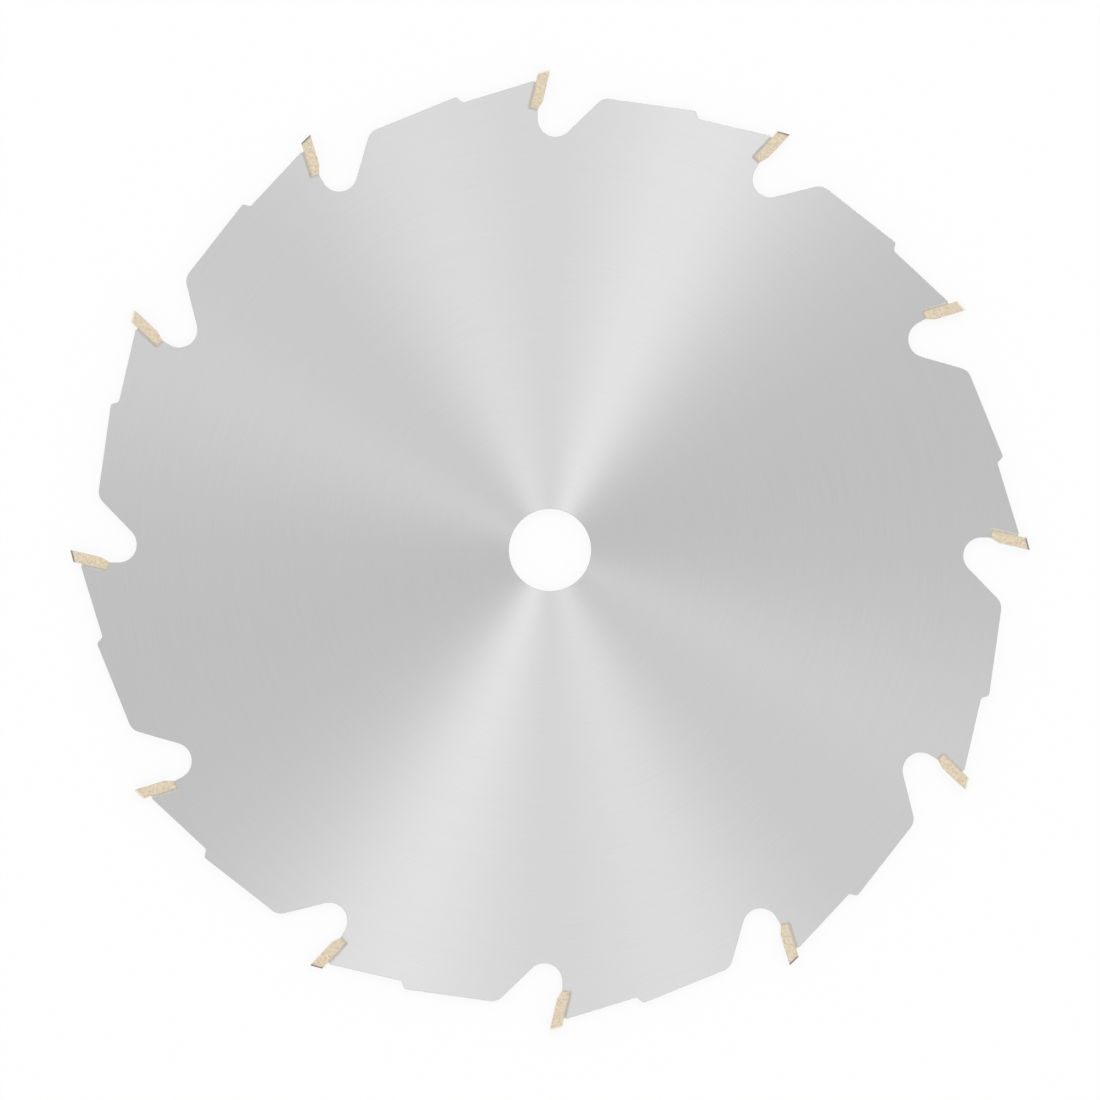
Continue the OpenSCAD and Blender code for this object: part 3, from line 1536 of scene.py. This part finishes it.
@dataclass
class BrazeSeams:
    """The solder behind and under each tip, with a small fillet on either face of the plate."""

    blade: BladeSizes
    tip: TipSizes
    tooth: ToothSizes
    solder: SilverSolder = SilverSolder()
    reach: float = 0.42
    climb: float = 0.16
    below_top: float = 0.16
    slant: float = 0.8
    slant_length: float = 0.9
    corner_r: float = 0.16
    lump: float = 0.05
    lumps_per_mm: float = 0.8
    sunk: float = 0.012
    into_plate: float = 0.2
    step: float = 0.15
    bend_steps: int = 8
    fillet_steps: int = 6
    lump_detail: float = 1.0
    seed_step: float = 3.7
    sharp_above: float = 50.0

    @property
    def top(self) -> float:
        """Height of the film's upper end in the tip's plane."""
        return -self.tooth.tip_stand - self.below_top

    def path(self) -> list[Vector]:
        """Draws the middle of the film.

        Returns:
            Its points, down the tip's back, round its corner and along its foot.
        """
        tip, half, top = self.tip, self.tip.braze / 2, self.top
        back, floor = -tip.thick - half, -tip.length - half
        centre = Vector((back + self.corner_r, floor + self.corner_r))
        turns = [180 + 90 * i / self.bend_steps for i in range(self.bend_steps + 1)]
        bend = [centre + self.corner_r * direction(angle) for angle in turns]
        down = spaced(Vector((back, top)), bend[0], self.step)
        along = spaced(bend[-1], Vector((tip.foot_front, floor)), self.step)
        return [raised(p, 0.0) for p in (*down, *bend[1:-1], *along)]

    def section(self) -> list[Vector]:
        """Draws the film's cross section.

        Returns:
            Its points, with X across the film and Y up through the plate.
        """
        half, face = self.tip.braze / 2, self.blade.plate / 2
        steps = [i / self.fillet_steps for i in range(self.fillet_steps + 1)]
        width, rise = self.reach + 2 * half, self.climb + self.sunk
        fillet = [(-half + width * t, face - self.sunk + rise * (1 - t) ** 2) for t in steps]
        upper = [*fillet, (half + self.into_plate, face - 2 * self.sunk)]
        lower = [(x, -y) for x, y in upper]
        return [Vector((x, y, 0.0)) for x, y in (*lower, *reversed(upper))]

    def lines(self, name: str) -> bpy.types.Object:
        """Makes an object with the path and the section as lines.

        Args:
            name: The object's name.

        Returns:
            The object; an attribute of its points tells path and section apart.
        """
        path, section = self.path(), self.section()
        first = len(path)
        edges = [(i, i + 1) for i in range(first - 1)]
        edges += [(first + i, first + (i + 1) % len(section)) for i in range(len(section))]
        mesh = bpy.data.meshes.new(name)
        mesh.from_pydata([p * MM for p in (*path, *section)], edges, [])
        parts = mesh.attributes.new(SEAM_PART, "INT", "POINT")
        parts.data.foreach_set("value", [SeamPart.PATH] * first + [SeamPart.SECTION] * len(section))
        return linked(name, mesh)

    @staticmethod
    def swept(graph: GeometryGraph) -> bpy.types.NodeSocket:
        """Sweeps the section along the path.

        Args:
            graph: The seam's tree.

        Returns:
            The plain seam, closed at both ends.
        """
        curves = {}
        for part in SeamPart:
            apart = graph.node("GeometryNodeSeparateGeometry", {"domain": "POINT"}, {
                "Geometry": graph.geometry,
                "Selection": graph.attribute(SEAM_PART).is_equal(int(part)),
            })
            curves[part] = graph.node("GeometryNodeMeshToCurve", {}, {"Mesh": apart.outputs[0]})
        upright = graph.node(
            "GeometryNodeSetCurveNormal", {"mode": "Z_UP"}, {"Curve": curves[SeamPart.PATH].outputs[0]}
        )
        return graph.node("GeometryNodeCurveToMesh", {}, {
            "Curve": upright.outputs[0],
            "Profile Curve": curves[SeamPart.SECTION].outputs[0],
            "Fill Caps": True,
        }).outputs[0]

    @staticmethod
    def slanted(graph: GeometryGraph, geometry: bpy.types.NodeSocket) -> bpy.types.NodeSocket:
        """Draws the top of the seam down towards the plate, as solder runs off there.

        Args:
            graph: The seam's tree.
            geometry: The seam.

        Returns:
            The seam with a slanted top.
        """
        x, y, _ = graph.parts(graph.position())
        behind = x + graph.given("Back")
        above = y - graph.given("Top") + graph.given("Slant Length")
        share = (above / graph.given("Slant Length")).limited()
        return graph.moved(geometry, graph.vector(y=behind * graph.given("Slant") * share))

    def lumpy(self, graph: GeometryGraph, geometry: bpy.types.NodeSocket) -> bpy.types.NodeSocket:
        """Makes the seam uneven.

        Args:
            graph: The seam's tree.
            geometry: The even seam.

        Returns:
            The seam with soft lumps.
        """
        cells = graph.scaled(graph.position(), self.lumps_per_mm / MM)
        noise = graph.value(
            "ShaderNodeTexNoise", "Fac", {"noise_dimensions": "4D"},
            Vector=cells, W=graph.given("Seed"), Scale=1.0, Detail=self.lump_detail,
        )
        outward = graph.node("GeometryNodeInputNormal").outputs[0]
        return graph.moved(geometry, graph.scaled(outward, (noise - NOISE_MEAN) * graph.given("Lump")))

    def tree(self) -> GeometryGraph:
        """Writes the rule that sweeps the seam, slants its top, roughens it and sets it at its tooth.

        Returns:
            The tree.
        """
        graph = GeometryGraph("solder_along_the_seat", {
            **TOOTH_INPUTS,
            **dict.fromkeys(("Back", "Top", "Slant", "Slant Length", "Lump", "Seed"), SocketKind.NUMBER),
            "Solder": SocketKind.MATERIAL,
        })
        seam = self.lumpy(graph, self.slanted(graph, self.swept(graph)))
        graph.finish(at_tooth(graph, seam), {"Solder": None})
        return graph

    def build(self) -> list[bpy.types.Object]:
        """Builds and dresses the seams.

        Returns:
            The seams, from tooth 1 on.
        """
        tree, solder, seams = self.tree(), self.solder.material(), []
        for number in range(1, self.blade.teeth + 1):
            seam = self.lines(f"braze_{number:02d}")
            tree.run(seam, {
                **tooth_values(self.blade, self.tip, number),
                "Back": self.tip.thick * MM,
                "Top": self.top * MM,
                "Slant": self.slant,
                "Slant Length": self.slant_length * MM,
                "Lump": self.lump * MM,
                "Seed": self.seed_step * number,
                "Solder": solder,
            })
            smooth(seam.data, self.sharp_above)
            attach(seam, BODY)
            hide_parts(f"braze_film_{number:02d}")
            seams.append(seam)
        return seams


# Studio


@dataclass(frozen=True)
class Lamp:
    """A soft lamp far away, by the direction that it shines from."""

    name: str
    azimuth: float
    strength: float
    elevation: float = 60.0
    width: float = 10.0


@dataclass
class Studio:
    """White floor, white surroundings, three soft lamps and a camera straight above the blade."""

    blade: BladeSizes
    tip: TipSizes
    lamps: tuple[Lamp, ...] = (
        Lamp("key_lamp", 68.8, 0.358),
        Lamp("second_lamp", 288.3, 0.270),
        Lamp("weak_lamp", 153.8, 0.132),
    )
    sky: float = 0.785
    horizon: float = 0.68
    clear_height: float = 0.65
    floor_size: float = 6000.0
    floor_white: float = 0.97
    floor_glow: float = 0.85
    camera_height: float = 2000.0
    view_width: float = 211.89
    sensor: float = 36.0
    nearest: float = 100.0
    farthest: float = 100000.0

    @staticmethod
    def seen(graph: NodeGraph) -> Signal:
        """Tells rays that show the surroundings to the camera from rays that only carry light.

        Args:
            graph: The tree of the floor or the world.

        Returns:
            1 for rays that come straight, mirrored or through glass, else 0.
        """
        node = graph.node("ShaderNodeLightPath")
        kinds = ("Camera", "Glossy", "Transmission")
        straight, mirrored, through = (Signal(graph, node.outputs[f"Is {kind} Ray"]) for kind in kinds)
        return (straight + mirrored + through).limited()

    def world(self) -> None:
        """Soft light from all round, which looks white where it is seen."""
        world = bpy.data.worlds.new("white_surroundings")
        world.use_nodes = True
        bpy.context.scene.world = world
        graph = NodeGraph(world.node_tree)
        _, _, height = graph.parts(graph.node("ShaderNodeTexCoord").outputs["Generated"])
        shown = (height / self.clear_height).limited() * (1 - self.horizon) + self.horizon
        seen = self.seen(graph)
        strength = seen * shown + (1 - seen) * self.sky
        glow = graph.node("ShaderNodeBackground", {}, {"Color": (1.0, 1.0, 1.0), "Strength": strength})
        graph.node("ShaderNodeOutputWorld", {}, {"Surface": glow.outputs[0]})

    def floor(self) -> bpy.types.Object:
        """Lays a white floor that the tips rest on, with a faint shadow.

        Returns:
            The floor.
        """
        half, z = self.floor_size / 2, -self.tip.kerf / 2
        draft, signs = MeshDraft(), ((-1, -1), (1, -1), (1, 1), (-1, 1))
        draft.face(draft.row([Vector((x * half, y * half, z)) for x, y in signs]), 0)
        floor = draft.piece("floor")
        graph = ShaderGraph("white_floor")
        white = (self.floor_white,) * 3
        matt = graph.node("ShaderNodeBsdfDiffuse", {}, {"Color": white})
        glow = graph.node("ShaderNodeEmission", {}, {"Color": (1.0, 1.0, 1.0), "Strength": 1.0})
        mixed = graph.node("ShaderNodeMixShader", {}, {
            0: self.seen(graph) * self.floor_glow, 1: matt.outputs[0], 2: glow.outputs[0],
        })
        graph.node("ShaderNodeOutputMaterial", {}, {"Surface": mixed.outputs[0]})
        floor.data.materials.append(graph.material)
        return floor

    def lights(self) -> list[bpy.types.Object]:
        """Hangs the lamps.

        Returns:
            The lamps.
        """
        made = []
        for lamp in self.lamps:
            data = bpy.data.lights.new(lamp.name, "SUN")
            data.energy = lamp.strength
            data.angle = math.radians(lamp.width)
            light = linked(lamp.name, data)
            level = direction(lamp.azimuth) * math.cos(math.radians(lamp.elevation))
            towards = raised(level, math.sin(math.radians(lamp.elevation)))
            light.rotation_mode = "QUATERNION"
            light.rotation_quaternion = towards.to_track_quat("Z", "Y")
            light.location = towards
            made.append(light)
        return made

    def camera(self) -> bpy.types.Object:
        """Sets a long lens straight above the bore, framed on the plate's front face.

        Returns:
            The camera.
        """
        data = bpy.data.cameras.new("camera")
        data.sensor_width = self.sensor
        data.lens = self.sensor * (self.camera_height - self.blade.plate / 2) / self.view_width
        data.clip_start, data.clip_end = self.nearest * MM, self.farthest * MM
        camera = linked("camera", data)
        camera.location = (0.0, 0.0, self.camera_height * MM)
        bpy.context.scene.camera = camera
        return camera

    def build(self) -> list[bpy.types.Object]:
        """Sets up the studio.

        Returns:
            What stands in it.
        """
        bpy.context.scene.view_settings.view_transform = "Standard"
        self.world()
        return [self.camera(), self.floor(), *self.lights()]


def main() -> None:
    """Builds the blade piece by piece, then the studio."""
    logging.basicConfig(level=logging.INFO, format="%(name)s: %(message)s", stream=sys.stdout)
    blade, tip, tooth = BladeSizes(), TipSizes(), ToothSizes()
    parts = (
        BladeBody(blade, ToothOutline(blade, tip, tooth)),
        CarbideTips(blade, tip, BlastedCarbide(tip, -tooth.tip_stand)),
        BrazeSeams(blade, tip, tooth),
        Studio(blade, tip),
    )
    for part in parts:
        for made in part.build():
            faces = len(made.data.polygons) if made.type == "MESH" else 0
            LOG.info("%s: %s, %d faces", type(part).__name__, made.name, faces)


if __name__ == "__main__":
    main()
